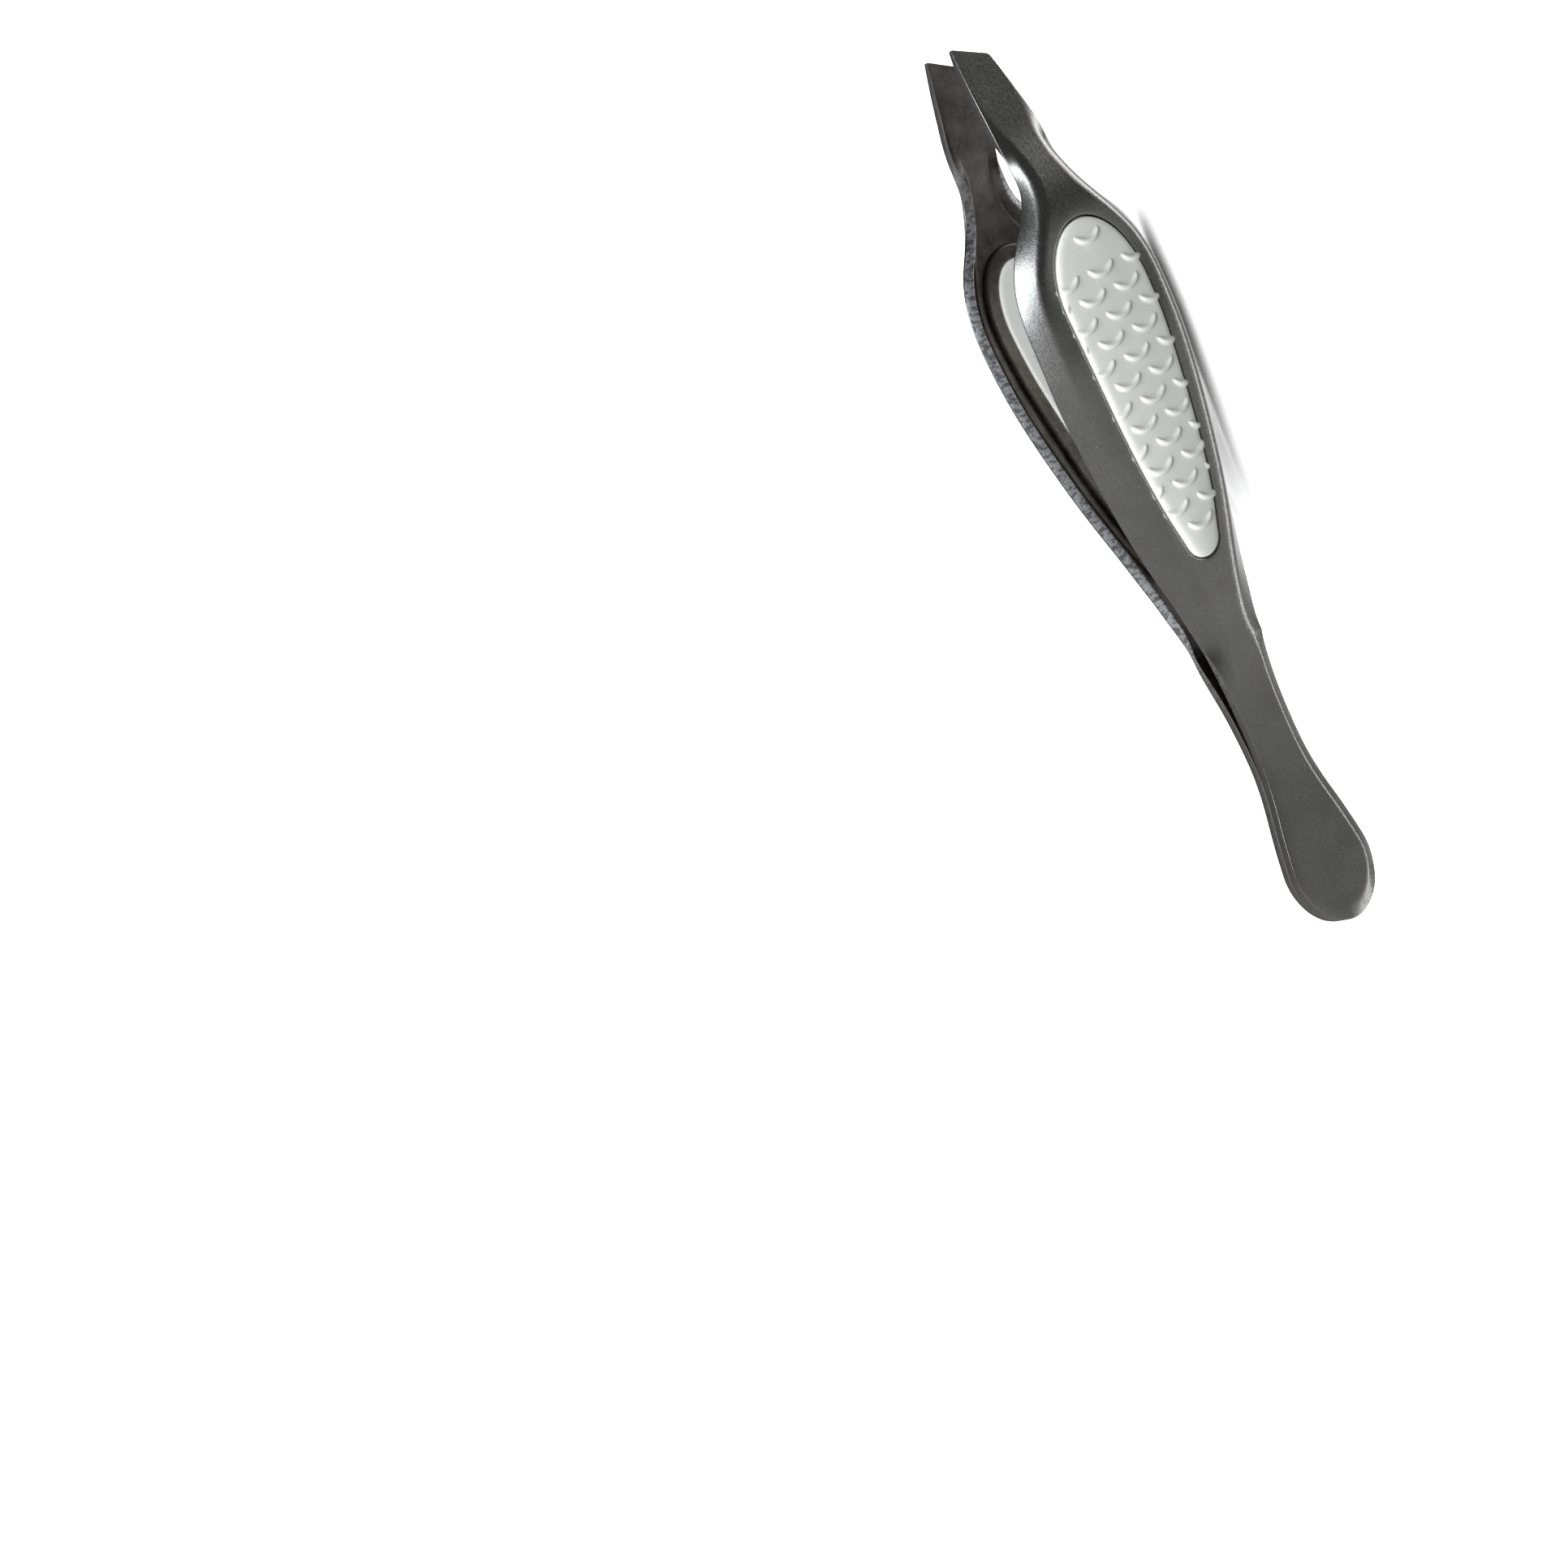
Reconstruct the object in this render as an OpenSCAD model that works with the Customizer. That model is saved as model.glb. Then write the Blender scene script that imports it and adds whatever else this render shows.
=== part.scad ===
// Slant-tip tweezers with soft grip pads.
// Frame: X runs along the tool with the tips at +X, the arms close along Y, the front arm
// lies at -Y and the rear arm at +Y, and Z runs across the arms. The tool lies on its side.
// "Station" means the distance back from the tips; "rise" means the distance out from the
// mid-plane between the arms.

/* [Whole tool] */
// Length from the tips to the rounded end
tool_length = 90; // [80:1:100]
// Thickness of the steel sheet
sheet = 1; // [0.8:0.05:1.2]

/* [Blades] */
// Half of the open gap between the two tips
tip_half_gap = 2; // [1:0.1:3]
// Thickness that the blades are ground down to at the tips
tip_sheet = 0.4; // [0.3:0.05:0.7]
// Angle of the slanted tip edge
slant = 26; // [0:1:35]

/* [Grip] */
// Half width of the arms over the grip, at the flange edges
grip_half_width = 8.5; // [7:0.1:10]
// Lean of the flanges away from square to the sheet
flange_lean = 36; // [20:1:42]
// Depth of the pocket that the pad sits in
pocket_depth = 0.6; // [0.4:0.05:0.7]
// Width of the seat left around the window in the pocket floor
seat_width = 1; // [0.8:0.1:1.6]
// Height of the pad's crown above the steel
pad_crown = 0.45; // [0.2:0.05:0.6]
// Height of the crescent ridges above the crown
ridge_height = 0.3; // [0.1:0.05:0.4]

/* [Tail] */
// Half width of the narrow waist
waist_half_width = 2.9; // [2.5:0.05:3.5]
// Half width of the rounded paddle
paddle_half_width = 4.95; // [4:0.05:6]
// Diameter of each weld nugget between the paddles
weld_diameter = 2.6; // [1.5:0.1:4]

/* [Hidden] */

tip_x = tool_length / 2;
centre_z = grip_half_width;
flex_station = 70;
split_gap = 0.01;
channel_start = 10.4;
channel_end = 64;
full_flange_depth = 0.6;
flat_sheet_room = 1.2 * sheet;
lean_overrun = 3.7;
blunt_edge = 0.15;
step = 1;
reach = 40;

// Rise of the outer face, station by station.
outer_rise = [
    [0, tip_half_gap + tip_sheet], [4, 3.3], [8, 4.22], [10, 4.68], [12.5, 5.75], [15, 6.65],
    [17.5, 6.98], [20, 6.8], [24, 6.42], [28, 6.3], [31, 6.18], [34.5, 5.8], [40, 5.15],
    [45, 4.55], [50, 3.85], [55, 3.0], [60, 2.15], [65, 1.5 * sheet], [70, 1.2 * sheet],
    [76, sheet], [tool_length, sheet]
];

// Overall depth of the section, from the outer face to the inner edge of the flanges.
section_depth = [
    [0, tip_sheet], [2, tip_sheet + 0.2], [5.5, 0.95 * sheet], [9, sheet], [11, 1.15 * sheet],
    [13.5, 1.6], [18, 2.3], [34, 2.3], [48, 2.3], [54, 1.95], [60, 1.45], [65, 1.05 * sheet],
    [70, sheet], [tool_length, sheet]
];

// Half width at the inner edge of the flanges, from the tips to the widest part of the paddle.
edge_half_width = [
    [0, 1.62], [3, 2.08], [7.5, 2.6], [10, 2.75], [12, 2.75], [13.5, 2.8], [15.5, 3.35],
    [17.5, 4.85], [20, 6.8], [23, grip_half_width - 0.45], [26, grip_half_width - 0.05],
    [30, grip_half_width], [34, grip_half_width - 0.1], [40, 7.75], [45, 6.95], [51, 5.7],
    [57, 4.3], [62, 3.4], [67, waist_half_width + 0.05], [71.5, waist_half_width],
    [76, waist_half_width + 0.45], [80, 4.25], [84, paddle_half_width]
];

// Half width of the pad between its round top and its round lower end.
pad_top = 18.9;
pad_top_centre = 26.4;
pad_top_half = 5;
pad_end_centre = 50.7;
pad_end_radius = 1.95;
pad_half_width = [
    [pad_top_centre, pad_top_half], [30, 4.9], [33, 4.7], [36, 4.45], [40, 4.05], [44, 3.5],
    [47.6, 2.8], [pad_end_centre, pad_end_radius]
];

pad_clearance = 0.15;
boss_width = 0.5;
boss_depth = pocket_depth;
pad_shoulder = 0.12;
crown_inset = 0.7;
plug_proud = 0.15;
pad_slab_start = pad_top - 4;
pad_slab_end = pad_end_centre + 6;
above_sheet = 3;

// Staggered lattice of crescent ridges, and one crescent on its own above it.
ridge_radius = 1.7;
ridge_width = 0.5;
ridge_row_pitch = 2.1;
ridge_column_pitch = 4.25;
ridge_first_station = 24.7;
ridge_last_station = 49.9;
ridge_columns = 2;
ridge_shift = -0.2;
ridge_overhang = 0.3;
ridge_trim = 0.05;
ridge_cut = 0.35;
lone_ridge_station = 21.4;

weld_stations = [79.5, 85];
weld_half_thickness = 0.25;

// ---- Curves ----

// Slope of a table of [station, value] rows at row i: none at a peak, a dip or the end of a flat.
function slope(table, i) =
    let (a = table[max(i - 1, 0)], m = table[i], b = table[min(i + 1, len(table) - 1)])
    i > 0 && i < len(table) - 1 && (m[1] - a[1]) * (b[1] - m[1]) <= 0 ? 0 : (b[1] - a[1]) / (b[0] - a[0]);

// Index of the last row at or before station s.
function row_before(table, s, i = 0) =
    i >= len(table) - 2 || table[i + 1][0] > s ? i : row_before(table, s, i + 1);

// Value at station s on the smooth curve through a table's rows.
function value_at(table, s) =
    let (
        i = row_before(table, s),
        run = table[i + 1][0] - table[i][0],
        t = min(max((s - table[i][0]) / run, 0), 1),
        h = t * t * (3 - 2 * t)
    )
    table[i][1] * (1 - h) + table[i + 1][1] * h
        + run * (slope(table, i) * t * (1 - t) * (1 - t) - slope(table, i + 1) * t * t * (1 - t));

function rise_at(s) = value_at(outer_rise, s);
function depth_at(s) = value_at(section_depth, s);

// Half width of the arm, with an elliptical end on the paddle.
function half_width_at(s) =
    let (paddle = edge_half_width[len(edge_half_width) - 1][0])
    s <= paddle ? value_at(edge_half_width, s)
    : paddle_half_width * sqrt(max(0, 1 - pow((s - paddle) / (tool_length - paddle), 2)));

// Half width of the pad: an ellipse, a taper, then a circle.
function pad_half_at(s) =
    s < pad_top_centre
    ? pad_top_half * sqrt(max(0, 1 - pow((s - pad_top_centre) / (pad_top_centre - pad_top), 2)))
    : s > pad_end_centre ? sqrt(max(0, pow(pad_end_radius, 2) - pow(s - pad_end_centre, 2)))
    : value_at(pad_half_width, s);

// Stations from a to b, closer together near both ends so that round ends stay round.
function stations(a, b) =
    let (count = ceil((b - a) / step) + 8)
    [for (i = [0:count]) a + (b - a) * (1 - cos(180 * i / count)) / 2];

function even_stations(a, b) =
    let (count = ceil((b - a) / step))
    [for (i = [0:count]) a + (b - a) * i / count];

function reversed(points) = [for (i = [len(points) - 1:-1:0]) points[i]];

// ---- Local building blocks: X along the tool, Y across the arm, Z is the rise ----

// Slab that follows the outer face, from below_face to above_face over the given stations.
module slab(from, to, top, bottom) {
    path = even_stations(from, to);
    rotate([90, 0, 0])
        linear_extrude(2 * reach, center = true)
            polygon(concat(
                [for (i = [0:len(path) - 1]) [tip_x - path[i], top[i]]],
                reversed([for (i = [0:len(path) - 1]) [tip_x - path[i], bottom[i]]])
            ));
}

// Slab between two offsets from the outer face; a positive offset is outside it.
module face_slab(from, to, above, below) {
    path = even_stations(from, to);
    slab(from, to, [for (s = path) rise_at(s) + above], [for (s = path) rise_at(s) - below]);
}

// Straight-sided prism over the arm's outline.
module arm_prism() {
    path = stations(0, tool_length);
    linear_extrude(reach, center = true)
        polygon(concat(
            [for (s = path) [tip_x - s, half_width_at(s)]],
            reversed([for (s = path) [tip_x - s, -half_width_at(s)]])
        ));
}

// Straight-sided prism over the pad's outline, grown by the given amount.
module pad_prism(grow) {
    path = stations(pad_top, pad_end_centre + pad_end_radius);
    function out(i) =
        let (
            a = path[max(i - 1, 0)],
            b = path[min(i + 1, len(path) - 1)],
            run = [b - a, pad_half_at(b) - pad_half_at(a)]
        )
        [-run[1], run[0]] / norm(run);
    edge = [
        for (i = [0:len(path) - 1])
            let (
                flat_end = i == 0 ? [-1, 0] : i == len(path) - 1 ? [1, 0] : out(i),
                point = [path[i], pad_half_at(path[i])] + grow * flat_end
            )
            [tip_x - point[0], point[1]]
    ];
    linear_extrude(reach, center = true)
        polygon(concat(edge, reversed([for (p = edge) if (p[1] > 0.001) [p[0], -p[1]]])));
}

// Everything on the inner side of one leaning flange wall, moved in by the given amount.
module lean_side(inset) {
    path = even_stations(-lean_overrun, tool_length + lean_overrun);
    function foot(s) =
        let (
            flanged = min(max((depth_at(s) - sheet) / full_flange_depth, 0), 1),
            room = blunt_edge + (1 - flanged) * flat_sheet_room
        )
        half_width_at(s) + room + (rise_at(s) - depth_at(s)) * tan(flange_lean) - inset;
    rotate([flange_lean, 0, 0])
        linear_extrude(4 * reach, center = true)
            polygon(concat(
                [for (s = path) [tip_x - s, foot(s) * cos(flange_lean)]],
                [for (s = [tool_length + lean_overrun, -lean_overrun]) [tip_x - s, -reach]]
            ));
}

module lean_walls(inset) {
    intersection() {
        lean_side(inset);
        mirror([0, 1, 0]) lean_side(inset);
    }
}

// Keeps only the stations behind the slanted tip edge.
module tip_cutter() {
    translate([tip_x, half_width_at(0), 0])
        rotate([0, 0, -slant])
            translate([0, -reach, -reach / 2])
                cube([reach, 2 * reach, reach]);
}

// Whole pressed sheet of one arm, from the tip to the end of the paddle.
module pressed_sheet() {
    path = even_stations(0, tool_length);
    rise = [for (s = path) rise_at(s)];
    channel = even_stations(channel_start, channel_end);
    channel_roof = [for (s = channel) rise_at(s) - sheet];
    difference() {
        intersection() {
            slab(0, tool_length, rise, [for (s = path) rise_at(s) - depth_at(s)]);
            arm_prism();
            lean_walls(0);
        }
        intersection() {
            slab(channel_start, channel_end, channel_roof, [for (s = channel) -reach / 2]);
            lean_walls(sheet / cos(flange_lean));
        }
        tip_cutter();
    }
}

// Keeps the stations from a to b.
module station_range(a, b) {
    translate([tip_x - b, -reach / 2, -reach / 2])
        cube([b - a, reach, reach]);
}

// ---- Sub-parts in local axes ----

// Flexing arm: blade, neck and channel-shaped grip with a pocket and a window for the pad.
module arm() {
    difference() {
        union() {
            intersection() {
                pressed_sheet();
                station_range(-1, flex_station - split_gap);
            }
            intersection() {
                face_slab(pad_slab_start, pad_slab_end, -sheet / 2, sheet + boss_depth);
                pad_prism(boss_width);
            }
        }
        intersection() {
            face_slab(pad_slab_start, pad_slab_end, above_sheet, pocket_depth);
            pad_prism(pad_clearance);
        }
        pad_prism(-seat_width);
    }
}

// Tail: the narrow waist and the paddle that is welded to the other one.
module tail() {
    difference() {
        intersection() {
            pressed_sheet();
            station_range(flex_station, tool_length + 1);
        }
        weld_nuggets();
    }
}

// One crescent ridge, hollow towards the tips, with its lowest point at the given place.
module crescent(station, across) {
    translate([tip_x - station + ridge_radius, across])
        difference() {
            circle(ridge_radius);
            translate([ridge_width, 0]) circle(ridge_radius);
            translate([-ridge_cut * ridge_radius, -2 * ridge_radius])
                square([3 * ridge_radius, 4 * ridge_radius]);
        }
}

// Every crescent that lies at least partly on the pad.
module crescents() {
    rows = floor((ridge_last_station - ridge_first_station) / ridge_row_pitch);
    for (row = [0:rows], column = [-ridge_columns:ridge_columns]) {
        station = ridge_first_station + row * ridge_row_pitch;
        across = ridge_shift + (column - (row % 2) / 2) * ridge_column_pitch;
        if (abs(across) < pad_half_at(station) + ridge_overhang) crescent(station, across);
    }
    crescent(lone_ridge_station, ridge_shift);
}

// Soft pad: a skirt in the pocket, a crown, crescent ridges and a plug through the window.
module grip() {
    intersection() {
        face_slab(pad_slab_start, pad_slab_end, pad_shoulder, pocket_depth);
        pad_prism(0);
    }
    intersection() {
        face_slab(pad_slab_start, pad_slab_end, pad_crown, pocket_depth);
        pad_prism(-crown_inset);
    }
    intersection() {
        face_slab(pad_slab_start, pad_slab_end, pad_crown, sheet + boss_depth + plug_proud);
        pad_prism(-seat_width);
    }
    intersection() {
        face_slab(pad_slab_start, pad_slab_end, pad_crown + ridge_height, pocket_depth / 2);
        linear_extrude(reach, center = true) crescents();
        pad_prism(-ridge_trim);
    }
}

// Welded spots that join the two paddles at the mid-plane.
module weld_nuggets() {
    for (s = weld_stations)
        translate([tip_x - s, 0, -weld_half_thickness])
            cylinder(d = weld_diameter, h = 2 * weld_half_thickness, $fn = 48);
}

// ---- Placing ----

// Turns local axes into the tool's frame on the front side.
module on_front() {
    translate([0, 0, centre_z]) rotate([90, 0, 0]) children();
}

module on_rear() {
    mirror([0, 1, 0]) on_front() children();
}

module front_arm() {
    color("dimgray") on_front() arm();
}

module front_grip() {
    color("white") on_front() grip();
}

module front_tail() {
    color("gray") on_front() tail();
}

module rear_arm() {
    color("dimgray") on_rear() arm();
}

module rear_grip() {
    color("white") on_rear() grip();
}

module rear_tail() {
    color("gray") on_rear() tail();
}

module weld_spots() {
    color("silver") on_front() weld_nuggets();
}

front_arm();
front_grip();
front_tail();
rear_arm();
rear_grip();
rear_tail();
weld_spots();
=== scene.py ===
"""Looks of slant-tip tweezers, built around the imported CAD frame.

Lengths are in millimetres until a mesh is made. "Station" is the distance back from the tips, "across" is
measured over an arm from its centre line (positive towards +Z), and "rise" is the distance out from the
mid-plane between the arms. The front arm lies at -Y and the rear arm at +Y.
"""

import math

import bpy
import numpy as np
from mathutils import Matrix, Vector, geometry


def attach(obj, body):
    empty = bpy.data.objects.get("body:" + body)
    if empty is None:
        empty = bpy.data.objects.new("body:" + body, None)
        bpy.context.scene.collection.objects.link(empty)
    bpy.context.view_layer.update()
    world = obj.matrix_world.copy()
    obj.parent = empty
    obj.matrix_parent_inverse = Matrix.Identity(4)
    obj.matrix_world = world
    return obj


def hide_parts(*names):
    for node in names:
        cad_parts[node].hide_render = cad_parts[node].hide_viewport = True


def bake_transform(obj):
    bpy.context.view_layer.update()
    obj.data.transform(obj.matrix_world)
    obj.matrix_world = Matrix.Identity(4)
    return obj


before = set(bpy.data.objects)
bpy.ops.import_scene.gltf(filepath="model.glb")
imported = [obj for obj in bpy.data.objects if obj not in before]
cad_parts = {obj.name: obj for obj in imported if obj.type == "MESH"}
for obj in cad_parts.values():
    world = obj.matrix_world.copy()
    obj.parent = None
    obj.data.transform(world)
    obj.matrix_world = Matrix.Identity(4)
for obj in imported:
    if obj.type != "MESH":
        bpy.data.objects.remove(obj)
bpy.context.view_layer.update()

# ---- Driving dimensions ----

MM = 0.001
TOOL_LENGTH = 90.0
TIP_X = TOOL_LENGTH / 2
CENTRE_Z = 8.5
SHEET = 1.0
PADDLE_STATION = 84.0
PADDLE_HALF_WIDTH = 4.95

# The blade: its thickness at the ground tip edge and at the end of the bevel, then how far behind the tip
# edge the bevel ends and the full sheet starts.
TIP_SHEET = 0.4
BEVEL_SHEET = 0.75
BEVEL_LENGTH = 1.6
BLADE_LENGTH = 5.5
BLADE_HALF_WIDTH = 2.6
SLANT = math.radians(26)

# Rise of the outer face.
OUTER_RISE = [
    (0, 2.4), (4, 3.3), (8, 4.22), (10, 4.68), (12.5, 5.75), (15, 6.65), (17.5, 6.98), (20, 6.8),
    (24, 6.42), (28, 6.3), (31, 6.18), (34.5, 5.8), (40, 5.15), (45, 4.55), (50, 3.85), (55, 3.0),
    (60, 2.15), (65, 1.5), (70, 1.2), (76, 1), (TOOL_LENGTH, 1),
]

# Half width of an arm at the outer corner of its sheared edge.
HALF_WIDTH = [
    (0, 1.62), (3, 2.08), (7.5, 2.6), (10, 2.75), (12, 2.75), (13.5, 2.8), (15.5, 3.35), (17.5, 4.85),
    (20, 6.8), (23, 8.05), (26, 8.45), (30, 8.5), (34, 8.4), (40, 7.75), (45, 6.95), (51, 5.7),
    (57, 4.3), (62, 3.4), (67, 2.95), (71.5, 2.9), (76, 3.35), (80, 4.25),
    (PADDLE_STATION, PADDLE_HALF_WIDTH),
]

# Angle that the flanges are bent down by, in degrees, and their length from the bend to the edge.
FLANGE_BEND = [
    (0, 0), (6.5, 0), (8.5, 7), (10, 20), (11.5, 42), (13, 60), (15, 65), (18, 58), (20, 54), (48, 54),
    (54, 42), (57, 32), (60, 27), (61, 24), (63.5, 4), (66, 0), (TOOL_LENGTH, 0),
]
FLANGE_LENGTH = [
    (0, 0.09), (4, 0.2), (6.5, 0.45), (8.5, 0.8), (10, 1.1), (12.5, 1.5), (15, 1.88), (17.5, 2.45),
    (20, 2.84), (26, 2.9), (34, 3.1), (48, 3.05), (54, 2.8), (57, 2.6), (60, 2.3), (63, 1.5),
    (TOOL_LENGTH, 1.4),
]
# How far the section is a pressed channel (1) and not a flat strip (0).
CHANNEL = [(0, 0), (6.5, 0), (12.5, 1), (58, 1), (63, 0), (TOOL_LENGTH, 0)]
# Bend of the rolled rim on the lower side of the tail, in degrees.
RIM_BEND = [(0, 0), (59, 0), (63, 31), (86, 31), (89, 18), (TOOL_LENGTH, 18)]

# Radius of the outer bend, of the outer corner of the sheared edge, and of the inner bend.
BEND_RADIUS = [
    (0, 0.03), (5, 0.15), (8, 0.7), (12, 1.4), (20, 1.4), (26, 1.6), (34, 2.2), (60, 2.0), (64, 0.9),
    (TOOL_LENGTH, 0.9),
]
EDGE_RADIUS = [(0, 0.1), (6, 0.18), (12, 0.14), (TOOL_LENGTH, 0.16)]
INNER_BEND_RADIUS = [(0, 0.03), (6, 0.3), (TOOL_LENGTH, 0.35)]
BURR_RADIUS = 0.09

# The pad's outline: half an ellipse, two sides and a half circle.
PAD_TOP = 18.9
PAD_TOP_CENTRE = 26.4
PAD_TOP_HALF = 5.0
PAD_END_CENTRE = 50.7
PAD_END_RADIUS = 1.95
PAD_HALF_WIDTH = [
    (PAD_TOP_CENTRE, PAD_TOP_HALF), (30, 4.9), (33, 4.7), (36, 4.45), (40, 4.05), (44, 3.5), (47.6, 2.8),
    (PAD_END_CENTRE, PAD_END_RADIUS),
]

# The pad's seat in the arm: a rounded rim, a groove round the pad, a seat with a window, and a boss behind.
POCKET_DEPTH = 0.6
POCKET_GAP = 0.2
POCKET_RIM = 0.5
POCKET_SHOULDER = 0.3
POCKET_RIM_SAG = 0.06
SEAT_WIDTH = 1.0
BOSS_DEPTH = SHEET + POCKET_DEPTH
BOSS_WALL = 0.38
BOSS_FOOT = 0.46

# The pad: a plug through the window, a rounded edge (CROWN high), and a swell in the middle (DOME high).
PAD_PLAY = 0.02
PLUG_DEPTH = BOSS_DEPTH + 0.15
PLUG_FLOOR = 0.6
PLUG_RADIUS = 0.3
CROWN = 0.26
CROWN_RUN = 0.8
CROWN_POWER = 0.85
CROWN_STEPS = 10
DOME = 0.19

# Crescent ridges on the pad. They lean outwards and fade out on the pad's rounded edge.
RIDGE_HEIGHT = 0.32
RIDGE_RADIUS = 1.7
RIDGE_HALF_ANGLE = math.radians(60)
RIDGE_HALF_WIDTH = 0.36
RIDGE_FLANK = 0.65
RIDGE_ROW_PITCH = 2.1
RIDGE_COLUMN_PITCH = 4.25
RIDGE_FIRST = 24.5
RIDGE_ROWS = 13
RIDGE_SHIFT = -0.2
RIDGE_LEAN = 0.7
RIDGE_FADE = 2.5
LONE_RIDGE = 21.2

# Blurs that round the corners of an outline, and the station where the tip's crisp corners end.
TIP_BLUR = 0.19
SIDE_BLUR = 0.7
PAD_BLUR = 0.5
CRISP_END = 6.0

# Reach of the grids of face points to each side of the centre line.
ARM_REACH = 9.0
PAD_REACH = 6.0

# Spacing of the points of meshes, and of curves and outlines before they are smoothed.
LOOP_STEP = 0.22
TIP_STEP = 0.07
CREASE_STEP = 0.12
FACE_STEP = 0.42
PAD_STEP = 0.13
CURVE_STEP = 0.1
OUTLINE_STEP = 0.05

# Steps round the outer bend, the outer corner of the sheared edge, its burr and the inner bend.
BEND_STEPS = 5
EDGE_STEPS = 4
BURR_STEPS = 2
INNER_BEND_STEPS = 3

# The camera: a long lens that looks down on the front arm, with the tail low on the right.
CAMERA_TILT = math.radians(35)
CAMERA_TURN = math.radians(5)
CAMERA_ROLL = math.radians(24.95)
CAMERA_DISTANCE = 0.4515
CAMERA_AIM_RIGHT = 0.03497
CAMERA_AIM_UP = 0.02776


# ---- Curves ----

def smooth_step(t):
    """Eases from 0 to 1 as t goes from 0 to 1."""
    return t * t * (3 - 2 * t)


def blur_kernel(sigma, step, reach):
    """Weights of a Gaussian blur over evenly spaced values."""
    kernel = np.exp(-0.5 * (np.arange(-reach, reach + 1) * step / sigma) ** 2)
    return kernel / kernel.sum()


def table_curve(table, blur=1.2):
    """A table of (station, value) rows as a smooth function of station."""
    s, v = np.array(table, float).T
    secant = np.diff(v) / np.diff(s)
    slope = np.concatenate([secant[:1], (v[2:] - v[:-2]) / (s[2:] - s[:-2]), secant[-1:]])
    slope[1:-1][secant[:-1] * secant[1:] <= 0] = 0
    x = np.arange(s[0] - 4 * blur, s[-1] + 4 * blur, CURVE_STEP)
    i = np.clip(np.searchsorted(s, x, side="right") - 1, 0, len(s) - 2)
    run = s[i + 1] - s[i]
    t = np.clip((x - s[i]) / run, 0, 1)
    h = smooth_step(t)
    y = v[i] * (1 - h) + v[i + 1] * h + run * t * (1 - t) * (slope[i] * (1 - t) - slope[i + 1] * t)
    y += slope[0] * np.minimum(x - s[0], 0) + slope[-1] * np.maximum(x - s[-1], 0)
    reach = int(3 * blur / CURVE_STEP)
    before = y[0] + (y[1] - y[0]) * np.arange(-reach, 0)
    after = y[-1] + (y[-1] - y[-2]) * np.arange(1, reach + 1)
    padded = np.concatenate([before, y, after])
    y = np.convolve(padded, blur_kernel(blur, CURVE_STEP, reach), mode="valid")
    return lambda at: np.interp(at, x, y)


rise = table_curve(OUTER_RISE)
half_width = table_curve(HALF_WIDTH, 0.9)
flange_bend = table_curve(FLANGE_BEND, 0.7)
flange_length = table_curve(FLANGE_LENGTH, 0.7)
bend_radius = table_curve(BEND_RADIUS, 0.7)
edge_radius = table_curve(EDGE_RADIUS, 0.7)
inner_bend_radius = table_curve(INNER_BEND_RADIUS, 0.7)
channel = table_curve(CHANNEL, 0.7)
rim_bend = table_curve(RIM_BEND, 0.7)
pad_half_width = table_curve(PAD_HALF_WIDTH, 0.01)


def behind_tip_edge(plan):
    """Distance of plan points behind the slanted tip edge."""
    lead = half_width(0)
    return (plan[:, 0] - (lead - plan[:, 1]) * math.tan(SLANT)) * math.cos(SLANT)


def sheet_at(plan):
    """Thickness of the steel: a ground bevel at the tip, then a slow taper to the full sheet."""
    distance = behind_tip_edge(plan)
    return np.interp(distance, [0, BEVEL_LENGTH, BLADE_LENGTH], [TIP_SHEET, BEVEL_SHEET, SHEET])


# ---- Closed loops in plan, as arrays of (station, across) points ----

def blurred(loop, sigma, step):
    """A closed loop of evenly spaced points, smoothed along its length."""
    reach = int(4 * sigma / step) + 1
    kernel = blur_kernel(sigma, step, reach)
    wrapped = np.concatenate([loop[-reach:], loop, loop[:reach]])
    return np.column_stack([np.convolve(c, kernel, mode="valid") for c in wrapped.T])


def resampled(loop, spacing):
    """A closed loop with new points, spaced by the given function of station."""
    closed = np.vstack([loop, loop[:1]])
    length = np.linalg.norm(np.diff(closed, axis=0), axis=1)
    weight = length / spacing((closed[1:, 0] + closed[:-1, 0]) / 2)
    total = np.concatenate([[0], np.cumsum(weight)])
    count = int(round(total[-1]))
    at = np.arange(count) * total[-1] / count
    return np.column_stack([np.interp(at, total, c) for c in closed.T])


def inward(loop):
    """Unit normals that point into a closed clockwise loop."""
    along = np.roll(loop, -1, 0) - np.roll(loop, 1, 0)
    along /= np.linalg.norm(along, axis=1)[:, None]
    return np.column_stack([along[:, 1], -along[:, 0]])


def half_ellipse(centre, length, half, tailward):
    """Points of a half ellipse at an end of an outline, from positive to negative across."""
    turn = np.linspace(0, math.pi, 240)
    return np.column_stack([centre + tailward * length * np.sin(turn), half * np.cos(turn)])


def even(spacing):
    """The same spacing at every station."""
    return lambda s: np.full_like(s, spacing)


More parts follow.
